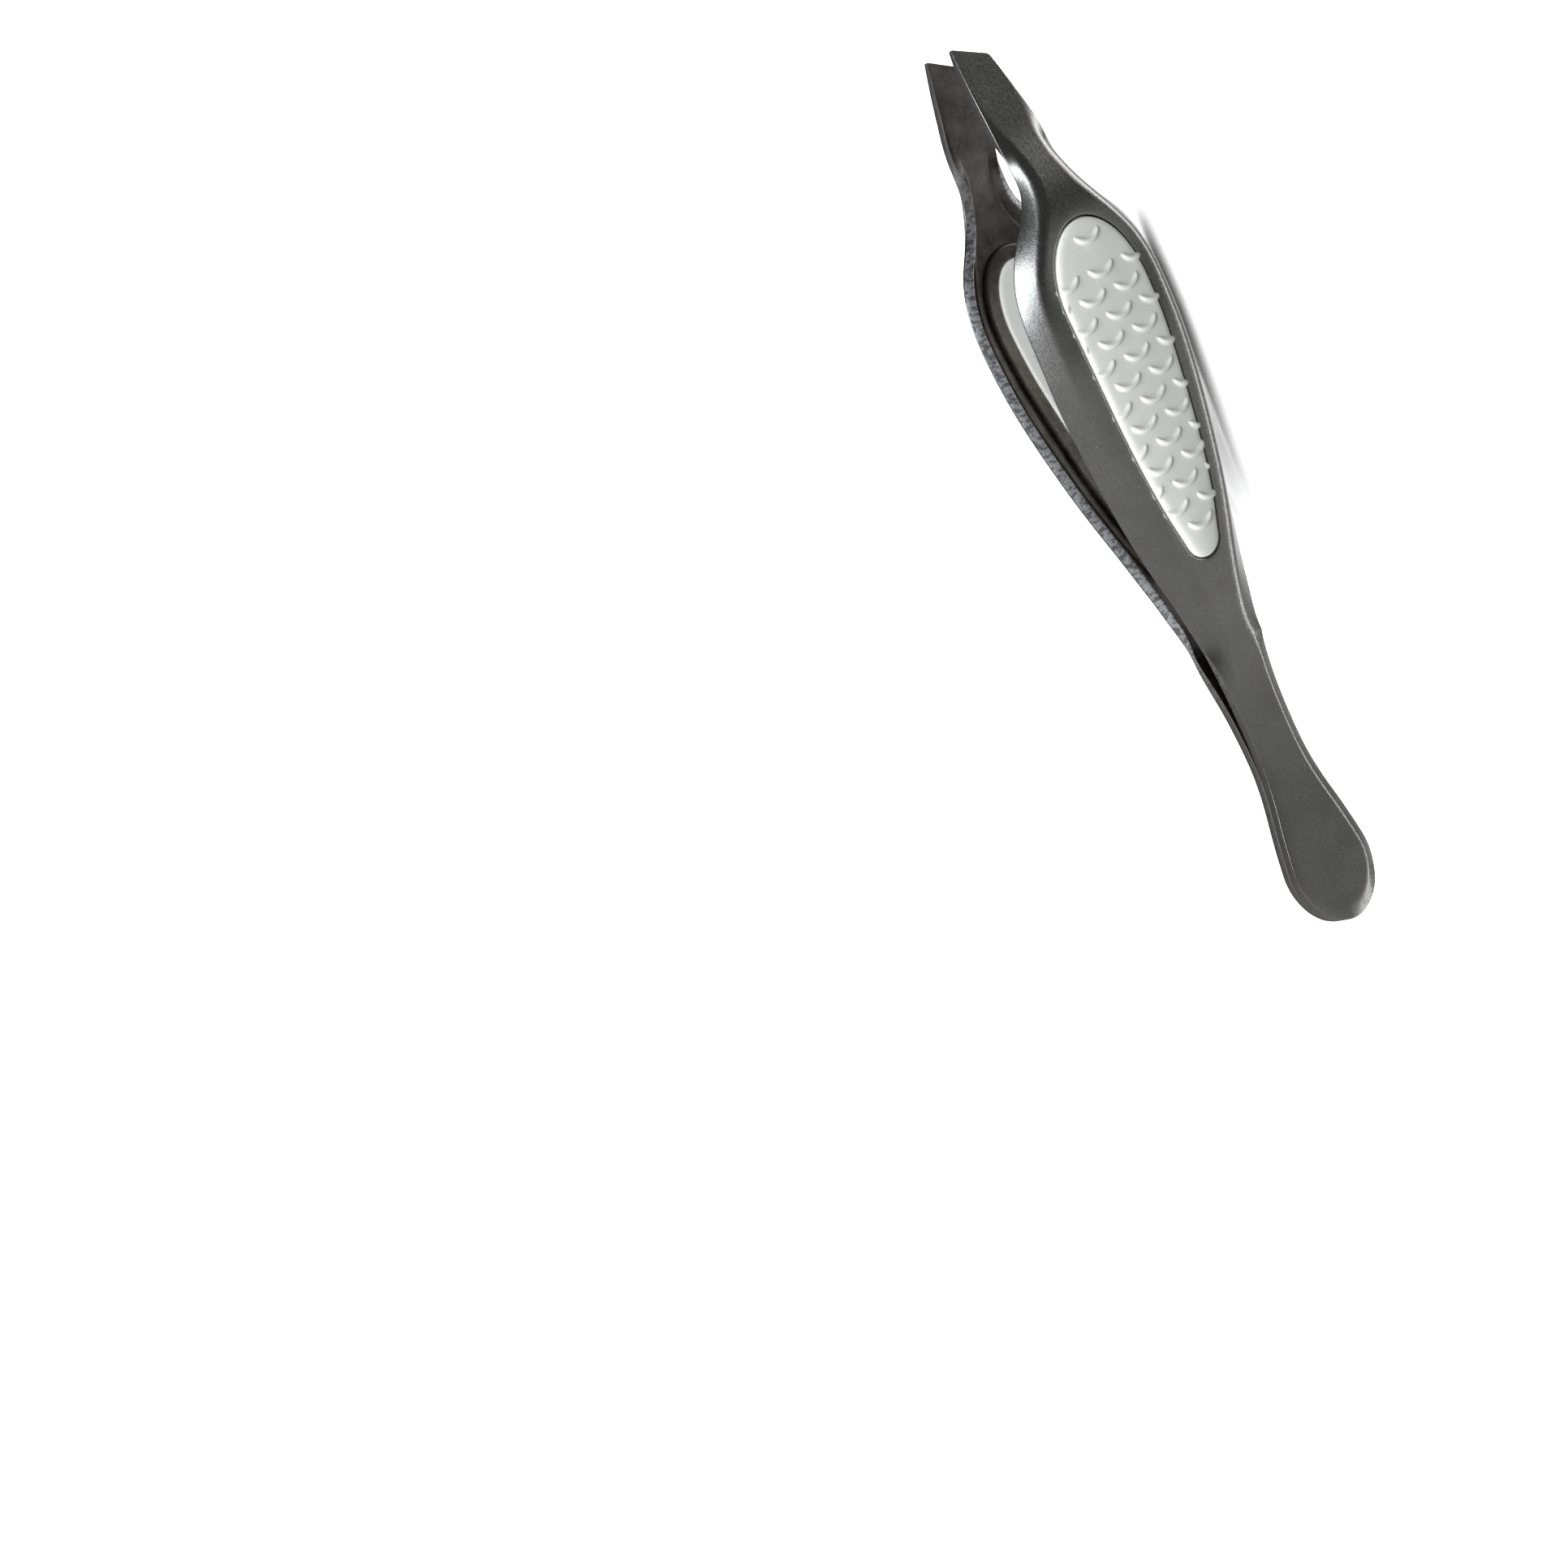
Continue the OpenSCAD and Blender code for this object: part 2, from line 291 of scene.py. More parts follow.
def arm_outline():
    """Outline of an arm at the outer corner of its sheared edge."""
    sides = np.arange(0, PADDLE_STATION, OUTLINE_STEP)
    left = np.column_stack([sides, half_width(sides)])
    right = np.column_stack([sides, -half_width(sides)])[::-1]
    right = right[behind_tip_edge(right) > 0]
    end = half_ellipse(PADDLE_STATION, TOOL_LENGTH - PADDLE_STATION, PADDLE_HALF_WIDTH, 1)
    edge = right[-1] + (left[0] - right[-1]) * np.linspace(0, 1, 80)[1:-1, None]
    loop = resampled(np.vstack([left, end, right, edge]), even(OUTLINE_STEP))
    crisp = blurred(loop, TIP_BLUR, OUTLINE_STEP)
    soft = blurred(loop, SIDE_BLUR, OUTLINE_STEP)
    share = np.clip((loop[:, :1] - CRISP_END) / CRISP_END, 0, 1)
    loop = crisp + (soft - crisp) * share
    return resampled(loop, lambda s: np.interp(s, [CRISP_END / 4, CRISP_END], [TIP_STEP, LOOP_STEP]))


def pad_outline(step):
    """Outline of the pad."""
    sides = np.arange(PAD_TOP_CENTRE, PAD_END_CENTRE, OUTLINE_STEP)
    left = np.column_stack([sides, pad_half_width(sides)])
    top = half_ellipse(PAD_TOP_CENTRE, PAD_TOP_CENTRE - PAD_TOP, PAD_TOP_HALF, -1)
    end = half_ellipse(PAD_END_CENTRE, PAD_END_RADIUS, PAD_END_RADIUS, 1)
    loop = np.vstack([left, end, left[::-1] * (1, -1), top[::-1]])
    loop = blurred(resampled(loop, even(OUTLINE_STEP)), PAD_BLUR, OUTLINE_STEP)
    return resampled(loop, even(step))


# ---- Sections: chains of (inset, drop) pairs for every point of a loop ----

def pair(inset, drop, count):
    """One (inset, drop) row for every point of a loop."""
    return np.column_stack([np.broadcast_to(inset, count), np.broadcast_to(drop, count)])


def fillet(corner, before, after, radius, steps=4, room=(0.48, 0.48)):
    """Chain points round a corner, taking up at most a share (room) of the way to each neighbour."""
    a, b = before - corner, after - corner
    la, lb = np.linalg.norm(a, axis=1), np.linalg.norm(b, axis=1)
    a, b = a / la[:, None], b / lb[:, None]
    half_turn = np.arccos(np.clip((a * b).sum(1), -1, 1)) / 2
    setback = np.maximum(radius / np.maximum(np.tan(half_turn), 1e-6), 0.3 * radius)
    setback = np.minimum(setback, np.minimum(room[0] * la, room[1] * lb))[:, None]
    start, end = corner + setback * a, corner + setback * b
    shares = np.linspace(0, 1, steps + 1)
    return [(1 - u) ** 2 * start + 2 * u * (1 - u) * corner + u * u * end for u in shares]


def arm_chain(loop):
    """Section of the arm's edge: outer face, bend, flange, sheared edge, and back to the inner face.

    Also gives the first and last link of the sheared edge.
    """
    s, n = loop[:, 0], len(loop)
    thick = sheet_at(loop)
    lower = np.clip(0.4 - loop[:, 1] / 2, 0, 1)
    bend = np.radians(np.maximum(flange_bend(s), rim_bend(s) * lower))
    length = flange_length(s)
    pressed = channel(s)
    outer_bend = pair(length * np.cos(bend), 0, n)
    outer_edge = pair(0, length * np.sin(bend), n)
    foot = thick * pressed * np.sin(bend)
    depth = pressed * (length * np.sin(bend) + thick * np.cos(bend)) + (1 - pressed) * thick
    inner_edge = pair(foot, depth, n)
    inner_bend = outer_bend + pair(thick * pressed * np.tan(bend / 2), thick, n)
    flat = pair(2, 0, n)
    chain = fillet(outer_bend, outer_bend + flat, outer_edge, bend_radius(s), BEND_STEPS)
    chain.insert(0, chain[0] + border(s, 0.08))
    first_edge = len(chain) + EDGE_STEPS
    chain += fillet(outer_edge, outer_bend, inner_edge, edge_radius(s), EDGE_STEPS, (0.48, 0.8))
    chain += fillet(inner_edge, outer_edge, inner_bend, BURR_RADIUS, BURR_STEPS, (0.15, 0.3))
    last_edge = len(chain) - 1
    chain += fillet(inner_bend, inner_edge, inner_bend + flat, inner_bend_radius(s), INNER_BEND_STEPS)
    chain.append(chain[-1] + border(s, 0.03))
    return chain, first_edge, last_edge


def border(s, width):
    """A narrow strip between a bend and a flat face, which keeps the face's shading flat."""
    return pair(np.interp(s, [CRISP_END / 3, CRISP_END], [0.015, width]), 0, len(s))


def pocket_chain(n):
    """Section of the pad's seat in the arm: rim, pocket, window, boss and back to the inner face."""
    return rounded_chain([
        (-POCKET_RIM, 0, 0),
        (-POCKET_SHOULDER, POCKET_RIM_SAG / 4, 0.1),
        (-POCKET_GAP, POCKET_RIM_SAG, 0.1),
        (-POCKET_GAP, POCKET_DEPTH, 0.05),
        (SEAT_WIDTH, POCKET_DEPTH, 0.08),
        (SEAT_WIDTH, BOSS_DEPTH, 0.15),
        (-BOSS_WALL, BOSS_DEPTH, 0.28),
        (-BOSS_FOOT, SHEET, 0.08),
        (-POCKET_RIM, SHEET, 0),
    ], n)


def rounded_chain(corners, n, steps=3):
    """Chain through corners given as (inset, drop, radius)."""
    points = [pair(inset, drop, n) for inset, drop, _ in corners]
    chain = [points[0]]
    for i in range(1, len(corners) - 1):
        chain += fillet(points[i], points[i - 1], points[i + 1], corners[i][2], steps)
    chain.append(points[-1])
    return chain


# ---- Meshes ----

def on_arm(plan, drop):
    """Local points (x, across, rise) below the outer face."""
    return np.column_stack([TIP_X - plan[:, 0], plan[:, 1], rise(plan[:, 0]) - drop])


def inside(points, polygon):
    """Which points lie inside a closed polygon."""
    x, y = points.T
    result = np.zeros(len(points), bool)
    for (x0, y0), (x1, y1) in zip(polygon, np.roll(polygon, -1, 0)):
        if y0 != y1:
            crosses = (y0 > y) != (y1 > y)
            result ^= crosses & (x < (x1 - x0) * (y - y0) / (y1 - y0) + x0)
    return result


def clear_of(points, loop, distance):
    """Which points are further than a distance from every point of a loop."""
    keep = np.ones(len(points), bool)
    for part in np.array_split(np.arange(len(points)), max(1, len(points) // 2000)):
        gap = points[part][:, None] - loop[None]
        keep[part] = (gap ** 2).sum(2).min(1) > distance ** 2
    return keep


def hex_grid(low, high, step):
    """Plan points in staggered rows, at the corners of equal triangles."""
    rows = []
    for i, across in enumerate(np.arange(low[1], high[1], step * math.sqrt(0.75))):
        stations = np.arange(low[0] + (i % 2) * step / 2, high[0], step)
        rows.append(np.column_stack([stations, np.full(len(stations), across)]))
    return np.vstack(rows)


class MeshParts:
    """Collects vertices and faces in local axes, and makes the object."""

    def __init__(self):
        self.points = []
        self.faces = []
        self.kinds = []
        self.count = 0

    def add_points(self, points):
        """Keeps points, and gives their indices."""
        self.points.append(points)
        first = self.count
        self.count += len(points)
        return np.arange(first, self.count)

    def add_faces(self, faces, kind):
        """Keeps faces that all have the same material number."""
        self.faces += [[int(i) for i in f] for f in faces]
        self.kinds += [kind] * len(faces)

    def bridge(self, a, b, kind):
        """Quads between two rings of indices."""
        self.add_faces(np.column_stack([a, np.roll(a, -1), np.roll(b, -1), b]), kind)

    def fill(self, rings, plans, extra, height, kind, flip=False):
        """Triangles inside the first ring and outside the others, over extra plan points."""
        extra = extra[inside(extra, plans[0])]
        edges = []
        start = 0
        for plan in plans:
            edges += [(start + i, start + (i + 1) % len(plan)) for i in range(len(plan))]
            start += len(plan)
        corners = [Vector(p) for p in np.vstack([*plans, extra])]
        made = geometry.delaunay_2d_cdt(corners, edges, [], 1, 1e-7)
        points, triangles, origin = made[0], np.array(made[2]), made[3]
        centres = np.array([(points[a] + points[b] + points[c]) / 3 for a, b, c in triangles])
        keep = inside(centres, plans[0])
        for plan in plans[1:]:
            keep &= ~inside(centres, plan)
        lookup = np.concatenate([*rings, self.add_points(height(extra))])
        index = np.array([lookup[o[0]] for o in origin])
        faces = index[triangles[keep]]
        self.add_faces(faces[:, ::-1] if flip else faces, kind)

    def build(self, name, side, materials):
        """Makes the object on the front (-1) or rear (1) side."""
        local = np.vstack(self.points)
        world = np.column_stack([local[:, 0], side * local[:, 2], CENTRE_Z + local[:, 1]]) * MM
        faces = self.faces if side < 0 else [f[::-1] for f in self.faces]
        mesh = bpy.data.meshes.new(name)
        mesh.from_pydata(world.tolist(), [], faces)
        for m in materials:
            mesh.materials.append(m)
        mesh.polygons.foreach_set("material_index", self.kinds)
        mesh.polygons.foreach_set("use_smooth", [True] * len(self.faces))
        mesh.validate()
        mesh.update()
        obj = bpy.data.objects.new(name, mesh)
        bpy.context.scene.collection.objects.link(obj)
        return obj


# Material numbers of the outer face, the sheared edge and the inner face.
FACE, EDGE, INNER = 0, 1, 2


def crease_points():
    """Points along the line where the ground bevel ends on the inner face."""
    across = np.arange(-BLADE_HALF_WIDTH, BLADE_HALF_WIDTH, CREASE_STEP)
    station = BEVEL_LENGTH / math.cos(SLANT) + (half_width(0) - across) * math.tan(SLANT)
    return np.column_stack([station, across])


def add_rings(parts, loop, chain):
    """A ring of points for each link of a chain, as indices and as plan points."""
    normals = inward(loop)
    rings, plans = [], []
    for link in chain:
        plan = loop + normals * link[:, :1]
        rings.append(parts.add_points(on_arm(plan, link[:, 1])))
        plans.append(plan)
    return rings, plans


def arm_mesh():
    """One arm with its half of the tail, and the window for the pad."""
    parts = MeshParts()
    loop = arm_outline()
    chain, first_edge, last_edge = arm_chain(loop)
    rings, plans = add_rings(parts, loop, chain)
    for i in range(len(rings) - 1):
        kind = FACE if i < first_edge else EDGE if i < last_edge else INNER
        parts.bridge(rings[i], rings[i + 1], kind)
    pad_loop = pad_outline(LOOP_STEP)
    holes, hole_plans = add_rings(parts, pad_loop, pocket_chain(len(pad_loop)))
    for i in range(len(holes) - 1):
        parts.bridge(holes[i + 1], holes[i], FACE if i < len(holes) // 2 else INNER)
    grid = hex_grid((0, -ARM_REACH), (TOOL_LENGTH, ARM_REACH), FACE_STEP)
    near = FACE_STEP * 0.55
    crease = crease_points()
    bevelled = np.vstack([grid[clear_of(grid, crease, 0.2)], crease])
    for end, extra, height, kind in (
        (0, grid, lambda plan: on_arm(plan, 0), FACE),
        (-1, bevelled, lambda plan: on_arm(plan, sheet_at(plan)), INNER),
    ):
        extra = extra[clear_of(extra, plans[end], near) & clear_of(extra, hole_plans[end], near)]
        extra = extra[~inside(extra, hole_plans[end])]
        borders = [plans[end], hole_plans[end]]
        parts.fill([rings[end], holes[end]], borders, extra, height, kind, kind == INNER)
    return parts


def ridge_centres():
    """Circle centres of the staggered crescents, and of the lone one near the top."""
    centres = [(LONE_RIDGE - RIDGE_RADIUS, RIDGE_SHIFT)]
    for row in range(RIDGE_ROWS):
        for column in range(-2, 3):
            across = RIDGE_SHIFT + (column - (row % 2) / 2) * RIDGE_COLUMN_PITCH
            centres.append((RIDGE_FIRST + row * RIDGE_ROW_PITCH - RIDGE_RADIUS, across))
    return centres


def ridge_field(plan):
    """Height of the crescent ridges at plan points."""
    total = np.zeros(len(plan))
    for station, across in ridge_centres():
        ds, dw = plan[:, 0] - station, plan[:, 1] - across
        near = np.hypot(ds, dw) < RIDGE_RADIUS + RIDGE_HALF_WIDTH
        turn = np.abs(np.arctan2(dw[near], ds[near])) / RIDGE_HALF_ANGLE
        taper = np.sqrt(np.clip(1 - turn ** 3, 0, 1))
        half = RIDGE_HALF_WIDTH * np.maximum(taper, 1e-3)
        off = np.abs(np.hypot(ds[near], dw[near]) - RIDGE_RADIUS) / half
        flank = smooth_step(np.clip((1 - off) / RIDGE_FLANK, 0, 1))
        total[near] = np.maximum(total[near], flank * taper)
    return total * RIDGE_HEIGHT


def dome(plan):
    """Height that the middle of the pad swells by, falling to none at its outline."""
    s, across = plan.T
    top = np.clip((PAD_TOP_CENTRE - s) / (PAD_TOP_CENTRE - PAD_TOP), 0, 1)
    end = np.clip((s - PAD_END_CENTRE) / PAD_END_RADIUS, 0, 1)
    return DOME * np.clip(1 - (across / pad_half_width(s)) ** 2 - top ** 2 - end ** 2, 0, 1)


def pad_chain(n):
    """Section of the pad: the plug's end, its side, the ledge on the seat, the side and the rounded edge."""
    window = SEAT_WIDTH + PAD_PLAY
    chain = rounded_chain([
        (window + PLUG_FLOOR, PLUG_DEPTH, 0),
        (window, PLUG_DEPTH, PLUG_RADIUS),
        (window, POCKET_DEPTH, 0.05),
        (PAD_PLAY, POCKET_DEPTH - PAD_PLAY / 2, 0.05),
        (0, POCKET_RIM_SAG, 0),
    ], n)
    for turn in np.linspace(0, math.pi / 2, CROWN_STEPS + 1):
        inset = CROWN_RUN * (1 - math.cos(turn) ** CROWN_POWER)
        chain.append(pair(inset, -CROWN * math.sin(turn) ** CROWN_POWER, n))
    return chain


def pad_mesh():
    """One pad with its plug and its crescent ridges."""
    parts = MeshParts()
    loop = pad_outline(PAD_STEP * 1.2)
    normals = inward(loop)
    rings, plans = [], []
    for link in pad_chain(len(loop)):
        plan = loop + normals * link[:, :1]
        points = on_arm(plan, link[:, 1])
        lift = np.clip(-link[:, 1] / CROWN * RIDGE_FADE, 0, 1) * ridge_field(plan)
        lean = np.clip(1 - link[:, 0] / CROWN_RUN, 0, 1) * RIDGE_LEAN
        points[:, 0] += normals[:, 0] * lean * lift
        points[:, 1] -= normals[:, 1] * lean * lift
        points[:, 2] += lift * np.sqrt(1 - lean ** 2) + np.where(link[:, 1] < 0, dome(plan), 0)
        rings.append(parts.add_points(points))
        plans.append(plan)
    for i in range(len(rings) - 1):
        parts.bridge(rings[i + 1], rings[i], 0)
    low, high = (PAD_TOP, -PAD_REACH), (PAD_END_CENTRE + PAD_END_RADIUS + 1, PAD_REACH)
    fine = hex_grid(low, high, PAD_STEP)
    top = fine[clear_of(fine, plans[-1], PAD_STEP * 0.6)]
    parts.fill(rings[-1:], plans[-1:], top, lambda p: on_arm(p, -CROWN - dome(p) - ridge_field(p)), 0)
    coarse = hex_grid(low, high, 4 * PAD_STEP)
    under = coarse[clear_of(coarse, plans[0], 2 * PAD_STEP)]
    parts.fill(rings[:1], plans[:1], under, lambda p: on_arm(p, PLUG_DEPTH), 0, True)
    return parts


# ---- Materials ----

def new_material(name):
    """A material, its node tree and its shader."""
    m = bpy.data.materials.new(name)
    m.use_nodes = True
    return m, m.node_tree, m.node_tree.nodes["Principled BSDF"]


def finish_material(tree, shader, base, roughness, normal, metallic):
    """Connects the shader to its colour, roughness and bumped normals."""
    tree.links.new(base, shader.inputs["Base Color"])
    tree.links.new(roughness, shader.inputs["Roughness"])
    tree.links.new(normal, shader.inputs["Normal"])
    shader.inputs["Metallic"].default_value = metallic


def add(tree, kind, inputs=None, **settings):
    """A node with settings, and inputs that are values or other nodes' outputs."""
    node = tree.nodes.new(kind)
    for key, value in settings.items():
        setattr(node, key, value)
    for key, value in (inputs or {}).items():
        if isinstance(value, bpy.types.NodeSocket):
            tree.links.new(value, node.inputs[key])
        else:
            node.inputs[key].default_value = value
    return node


def millimetres(tree, stretch=(1, 1, 1)):
    """Object coordinates in millimetres, stretched along the axes."""
    where = add(tree, "ShaderNodeTexCoord").outputs["Object"]
    scale = [s / MM for s in stretch]
    return add(tree, "ShaderNodeVectorMath", {0: where, 1: scale}, operation="MULTIPLY").outputs[0]


def calculated(tree, operation, a, b):
    """Result of a Math node."""
    return add(tree, "ShaderNodeMath", {0: a, 1: b}, operation=operation).outputs[0]


def noise(tree, where, scale, detail=2.0, rough=0.5):
    """A noise pattern of the given scale per millimetre."""
    inputs = {"Vector": where, "Scale": scale, "Detail": detail, "Roughness": rough}
    return add(tree, "ShaderNodeTexNoise", inputs).outputs["Fac"]


def remap(tree, value, low, high, to_low=0.0, to_high=1.0):
    """A value moved from one range to another, and kept inside it."""
    inputs = {"Value": value, "From Min": low, "From Max": high, "To Min": to_low, "To Max": to_high}
    return add(tree, "ShaderNodeMapRange", inputs).outputs["Result"]


def specks(tree, where, scale, size, share):
    """Small round specks, one in some of the cells of a Voronoi pattern."""
    cells = add(tree, "ShaderNodeTexVoronoi", {"Vector": where, "Scale": scale})
    spot = remap(tree, cells.outputs["Distance"], size, size * 0.5)
    chosen = add(tree, "ShaderNodeSeparateColor", {"Color": cells.outputs["Color"]}).outputs["Red"]
    return calculated(tree, "MULTIPLY", spot, calculated(tree, "LESS_THAN", chosen, share))


def mix_colour(tree, share, a, b):
    """A mix of two colours, each given as a colour or as another node's output."""
    node = add(tree, "ShaderNodeMix", {"Factor": share}, data_type="RGBA")
    for socket, value in ((node.inputs[6], a), (node.inputs[7], b)):
        if isinstance(value, bpy.types.NodeSocket):
            tree.links.new(value, socket)
        else:
            socket.default_value = (*value, 1)
    return node.outputs[2]


def bump(tree, height, strength, distance, normal=None):
    """Normals bumped by a height pattern, over a distance in millimetres."""
    inputs = {"Height": height, "Strength": strength, "Distance": distance * MM}
    if normal is not None:
        inputs["Normal"] = normal
    return add(tree, "ShaderNodeBump", inputs).outputs["Normal"]


def steel():
    """Satin stamped stainless steel, with a fine mottle, light scratches and dust."""
    m, tree, shader = new_material("brushed_steel")
    where = millimetres(tree)
    along = millimetres(tree, (0.25, 1, 3))
    cloud = noise(tree, where, 0.35, 3)
    mottle = noise(tree, millimetres(tree, (0.7, 1, 1)), 3.6, 4, 0.75)
    grain = noise(tree, where, 8.0, 2, 0.6)
    scratch = remap(tree, noise(tree, along, 3.0, 4, 0.7), 0.64, 0.74)
    dust = specks(tree, where, 0.8, 0.07, 0.3)
    stain = mix_colour(tree, remap(tree, cloud, 0.35, 0.65), (0.46, 0.45, 0.43), (0.52, 0.51, 0.49))
    base = mix_colour(tree, remap(tree, mottle, 0.3, 0.5), (0.40, 0.39, 0.375), stain)
    base = mix_colour(tree, scratch, base, (0.60, 0.59, 0.58))
    base = mix_colour(tree, dust, base, (0.9, 0.9, 0.9))
    normal = bump(tree, grain, 0.4, 0.02)
    normal = bump(tree, mottle, 0.35, 0.03, normal)
    normal = bump(tree, scratch, 0.2, 0.01, normal)
    finish_material(tree, shader, base, remap(tree, mottle, 0.35, 0.65, 0.2, 0.28), normal, 1.0)
    return m


def inner_steel_painted_shade():
    """Unpolished inner face of the sheet, with a cloudy rolled surface. Its brown-black colour is painted
    shade and a painted brown reflection, as the inner faces lie between the arms.
    """
    m, tree, shader = new_material("inner_steel_painted_shade")
    where = millimetres(tree)
    cloud = noise(tree, where, 0.5, 4, 0.6)
    mottle = noise(tree, where, 3.0, 4, 0.7)
    # Painted shade: the brown-black base stands for the shade and the brown reflection that fall between the
    # arms.
    base = mix_colour(tree, remap(tree, cloud, 0.35, 0.65), (0.19, 0.165, 0.15), (0.30, 0.275, 0.25))
    base = mix_colour(tree, remap(tree, mottle, 0.55, 0.75), base, (0.38, 0.36, 0.33))
    normal = bump(tree, mottle, 0.3, 0.03)
    finish_material(tree, shader, base, remap(tree, mottle, 0.35, 0.65, 0.3, 0.42), normal, 1.0)
    return m


def sheared_steel():
    """Sheared edge: torn into lumps round the grip, smooth on the blades and tail. The lumps' light and dark
    colour is partly the torn metal's own tone and partly painted glints.
    """
    m, tree, shader = new_material("sheared_steel")
    lumps = noise(tree, millimetres(tree, (1.3, 0.8, 0.8)), 2.0, 2, 0.5)
    streaks = noise(tree, millimetres(tree, (5, 0.7, 5)), 1.4, 3, 0.6)
    grain = noise(tree, millimetres(tree), 7.0, 3)
    along = add(tree, "ShaderNodeSeparateXYZ", {0: millimetres(tree)}).outputs["X"]
    behind_blade = remap(tree, along, TIP_X - 10, TIP_X - 16)
    before_tail = remap(tree, along, TIP_X - 68, TIP_X - 56)
    torn = calculated(tree, "MULTIPLY", behind_blade, before_tail)
    height = calculated(tree, "MULTIPLY", lumps, torn)
    # Painted glints: the near-white lumps stand for light caught by the torn edge, along with the torn
    # metal's own light and dark tone.
    base = mix_colour(tree, remap(tree, lumps, 0.4, 0.55), (0.4, 0.4, 0.41), (0.98, 0.98, 1))
    base = mix_colour(tree, torn, (0.42, 0.40, 0.38), base)
    normal = bump(tree, height, 0.8, 0.1)
    normal = bump(tree, streaks, 0.3, 0.03, normal)
    normal = bump(tree, grain, 0.15, 0.01, normal)
    finish_material(tree, shader, base, remap(tree, streaks, 0.3, 0.7, 0.45, 0.65), normal, 1.0)
    return m


def soft_plastic():
    """Off-white satin elastomer, with a faint moulded grain and a few dark specks."""
    m, tree, shader = new_material("soft_plastic")
    where = millimetres(tree)
    cloud = noise(tree, where, 0.5, 3)
    grain = noise(tree, where, 9.0, 3)
    base = mix_colour(tree, cloud, (0.57, 0.585, 0.565), (0.65, 0.66, 0.64))
    base = mix_colour(tree, specks(tree, where, 0.9, 0.075, 0.45), base, (0.22, 0.21, 0.2))
    normal = bump(tree, grain, 0.25, 0.02)
    finish_material(tree, shader, base, remap(tree, grain, 0.3, 0.7, 0.42, 0.55), normal, 0.0)
    shader.inputs["Subsurface Weight"].default_value = 0.2
    shader.inputs["Subsurface Radius"].default_value = (0.0006, 0.0006, 0.0005)
    shader.inputs["Subsurface Scale"].default_value = 1.0
    return m


def weld_metal():
    """Darkened weld nugget, with a cast grain."""
    m, tree, shader = new_material("weld_metal")
    grain = noise(tree, millimetres(tree), 4.0, 4)
    base = mix_colour(tree, grain, (0.2, 0.18, 0.17), (0.45, 0.42, 0.4))
    normal = bump(tree, grain, 0.4, 0.05)
    finish_material(tree, shader, base, remap(tree, grain, 0.3, 0.7, 0.35, 0.6), normal, 1.0)
    return m


# ---- The object ----

def build_object():
    """Both arms with their pads, and the look of the weld spots between the paddles."""
    steels = [steel(), sheared_steel(), inner_steel_painted_shade()]
    plastic = soft_plastic()
    arm, pad = arm_mesh(), pad_mesh()
    for side, name in ((-1, "front"), (1, "rear")):
        sheet = arm.build(name + "_sheet", side, steels)
        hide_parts(name + "_arm", name + "_tail")
        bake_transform(sheet)
        soft = pad.build(name + "_pad", side, [plastic])
        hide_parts(name + "_grip")
        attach(soft, name + "_arm")
    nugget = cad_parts["weld_spots"]
    nugget.data.materials.clear()
    nugget.data.materials.append(weld_metal())


# ---- Stage ----

def build_floor():
    """A plain pale floor, which neither lights the tool nor shows in its steel."""
    m, tree, shader = new_material("floor")
    cloud = noise(tree, millimetres(tree), 0.01)
    base = mix_colour(tree, cloud, (0.93, 0.93, 0.93), (0.95, 0.95, 0.95))
    tree.links.new(base, shader.inputs["Base Color"])
    shader.inputs["Roughness"].default_value = 0.8
    half = 3.0
    mesh = bpy.data.meshes.new("floor")
    corners = [(-half, -half, 0), (half, -half, 0), (half, half, 0), (-half, half, 0)]
    mesh.from_pydata(corners, [], [(0, 1, 2, 3)])
    mesh.materials.append(m)
    floor = bpy.data.objects.new("floor", mesh)
    bpy.context.scene.collection.objects.link(floor)
    floor.visible_glossy = False
    floor.visible_diffuse = False


def build_lights():
    """Three soft lamps that face the tool. Only the first one shows in the steel."""
    # Name, place, width, length, power, colour, and if the steel mirrors it.
    lamps = (
        ("overhead", (0.35, -0.18, 0.91), 0.32, 0.6, 2.5, (0.88, 0.94, 1), True),
        ("front", (0.15, -0.72, 0.9), 0.5, 0.5, 9, (1, 1, 1), False),
        ("ceiling", (-0.2, 0.2, 1.2), 2.4, 2.4, 85, (1, 1, 1), False),
    )
    for name, place, width, length, power, colour, mirrored in lamps:
        data = bpy.data.lights.new(name, "AREA")
        data.shape = "RECTANGLE"
        data.size = width
        data.size_y = length
        data.energy = power
        data.color = colour
        light = bpy.data.objects.new(name, data)
        light.location = place
        light.visible_glossy = mirrored
        light.rotation_mode = "QUATERNION"
        light.rotation_quaternion = (-Vector(place)).to_track_quat("-Z", "Y")
        bpy.context.scene.collection.objects.link(light)


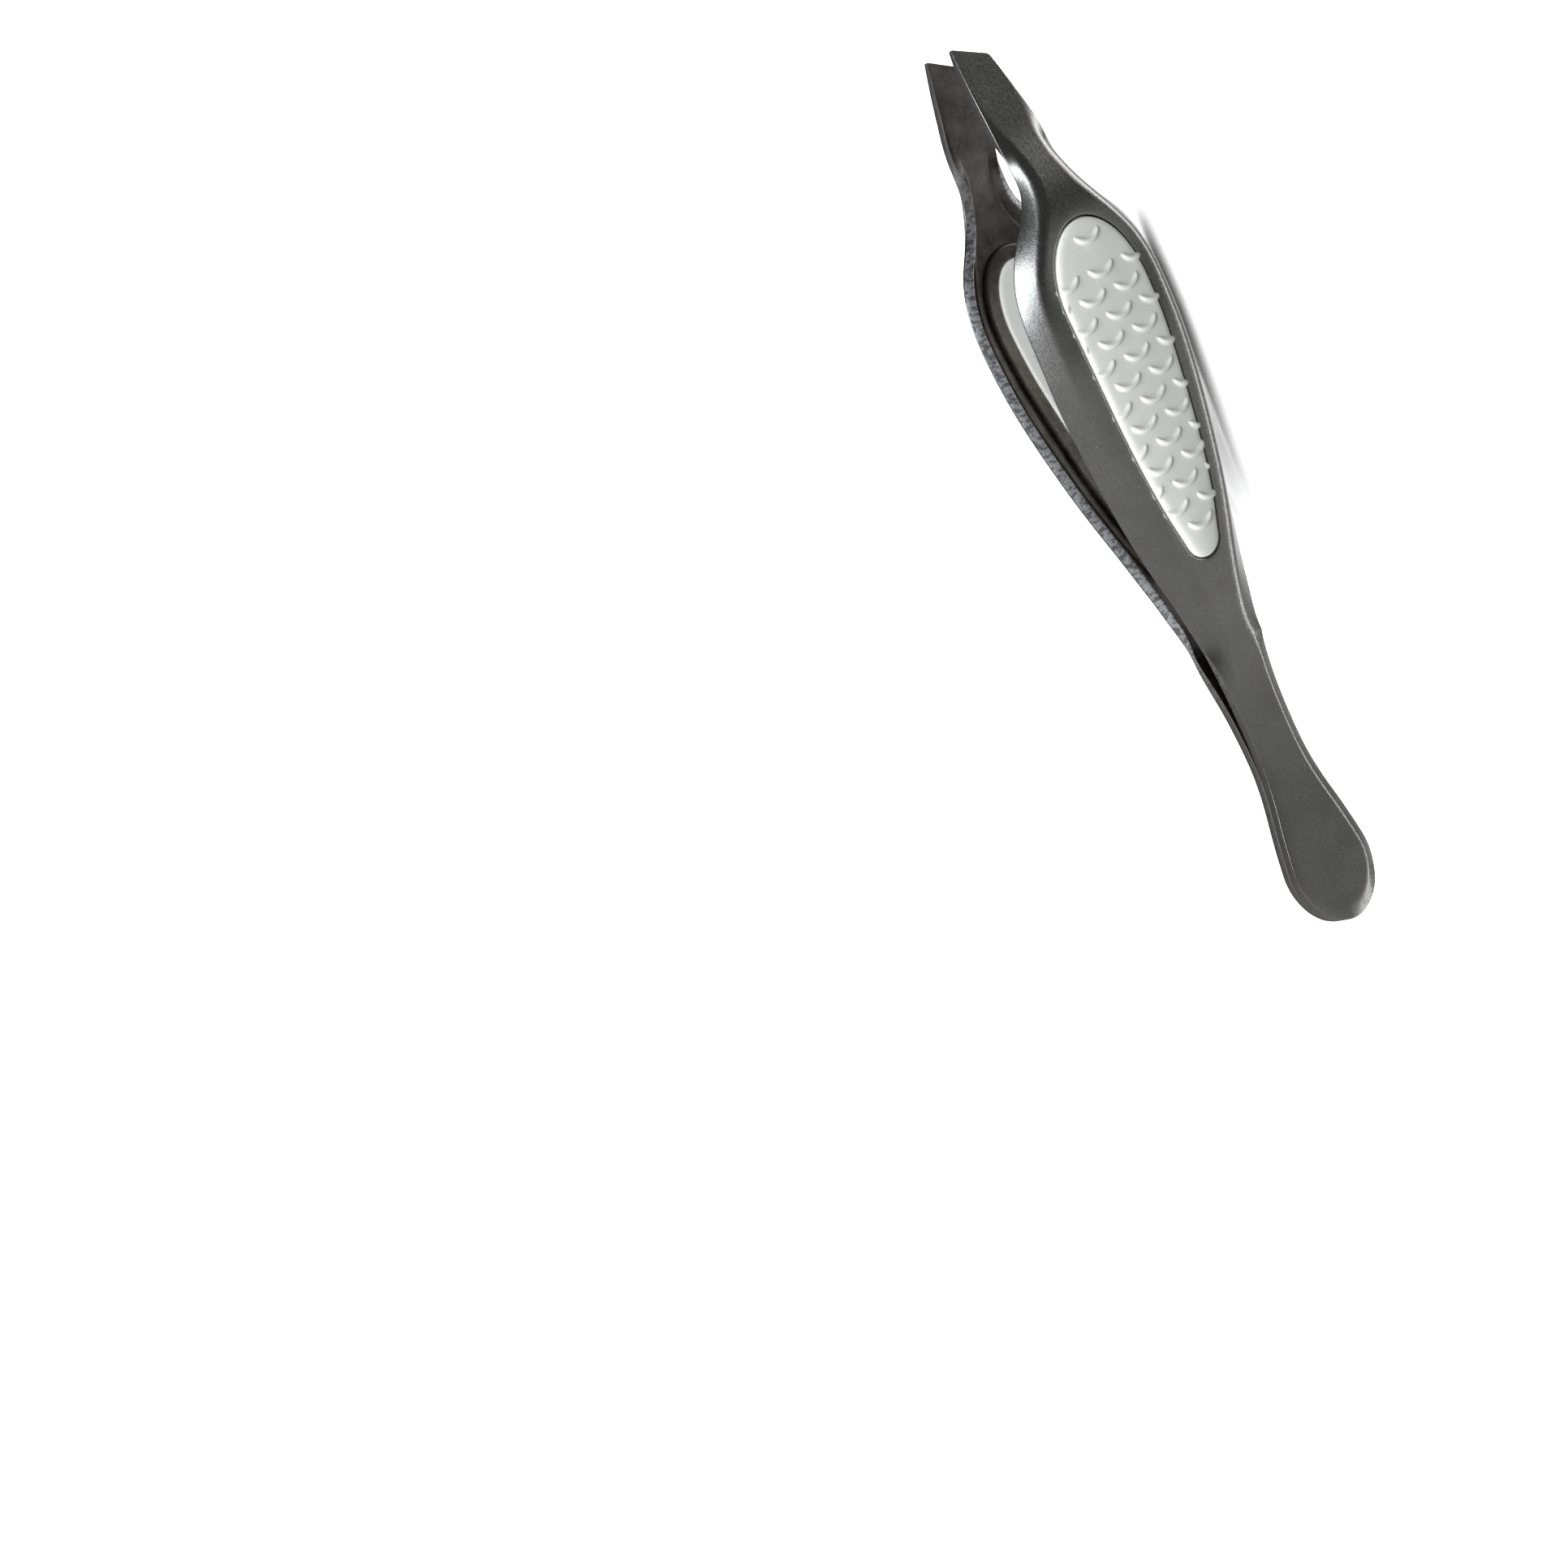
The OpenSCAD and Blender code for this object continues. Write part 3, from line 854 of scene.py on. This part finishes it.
def build_world():
    """A dark studio with soft bright areas and two long strips that lie along the tool."""
    world = bpy.data.worlds.new("studio")
    bpy.context.scene.world = world
    world.use_nodes = True
    tree = world.node_tree
    where = add(tree, "ShaderNodeTexCoord").outputs["Generated"]

    def facing(direction):
        inputs = {0: where, 1: direction}
        return add(tree, "ShaderNodeVectorMath", inputs, operation="DOT_PRODUCT").outputs["Value"]

    # Each area: its direction, how directly one has to face it for the first and for the full light, and
    # its strength. Each strip: its direction in Y and Z, its half width and its strength.
    areas = (
        ((0.345, -0.276, -0.9), 0.91, 0.965, 1.1),
        ((0, 0.75, -0.66), 0.75, 0.97, 0.8),
        ((0.3, -0.2, 0.93), 0.8, 1.0, 0.3),
        ((-1, 0, 0), 0.02, 0.25, 0.2),
    )
    strips = ((-0.374, -0.927, 0.08, 3.4), (-0.69, -0.72, 0.05, 0.2))
    total = 0.055
    for direction, low, high, strength in areas:
        total = calculated(tree, "ADD", total, remap(tree, facing(direction), low, high, 0, strength))
    for across, down, width, strength in strips:
        off = add(tree, "ShaderNodeMath", {0: facing((0, down, -across))}, operation="ABSOLUTE").outputs[0]
        strip = remap(tree, off, 0, width, strength, 0)
        below = remap(tree, facing((0, across, down)), 0.3, 0.6)
        total = calculated(tree, "ADD", total, calculated(tree, "MULTIPLY", strip, below))
    background = tree.nodes["Background"]
    tree.links.new(total, background.inputs["Strength"])
    background.inputs["Color"].default_value = (0.97, 0.98, 1, 1)


def build_camera():
    """Places the camera from its angles, then aims it beside the tool as the framing needs."""
    across = Vector((0, -math.sin(CAMERA_TILT), -math.cos(CAMERA_TILT)))
    facing = Vector((0, -math.cos(CAMERA_TILT), math.sin(CAMERA_TILT)))
    back = facing * math.cos(CAMERA_TURN) + Vector((math.sin(CAMERA_TURN), 0, 0))
    along = Vector((-math.cos(CAMERA_TURN), 0, 0)) + facing * math.sin(CAMERA_TURN)
    right = across * math.cos(CAMERA_ROLL) + along * math.sin(CAMERA_ROLL)
    up = across * math.sin(CAMERA_ROLL) - along * math.cos(CAMERA_ROLL)
    centre = Vector((0, 0, CENTRE_Z * MM))
    place = centre + back * CAMERA_DISTANCE
    aim = centre - right * CAMERA_AIM_RIGHT - up * CAMERA_AIM_UP
    z = (place - aim).normalized()
    x = (right - z * right.dot(z)).normalized()
    data = bpy.data.cameras.new("camera")
    data.lens = 110
    data.sensor_width = 36
    data.clip_start = 0.01
    camera = bpy.data.objects.new("camera", data)
    camera.matrix_world = Matrix.Translation(place) @ Matrix((x, z.cross(x), z)).transposed().to_4x4()
    bpy.context.scene.collection.objects.link(camera)
    bpy.context.scene.camera = camera


build_camera()
build_object()
build_floor()
build_lights()
build_world()
bpy.context.scene.view_settings.view_transform = "Standard"
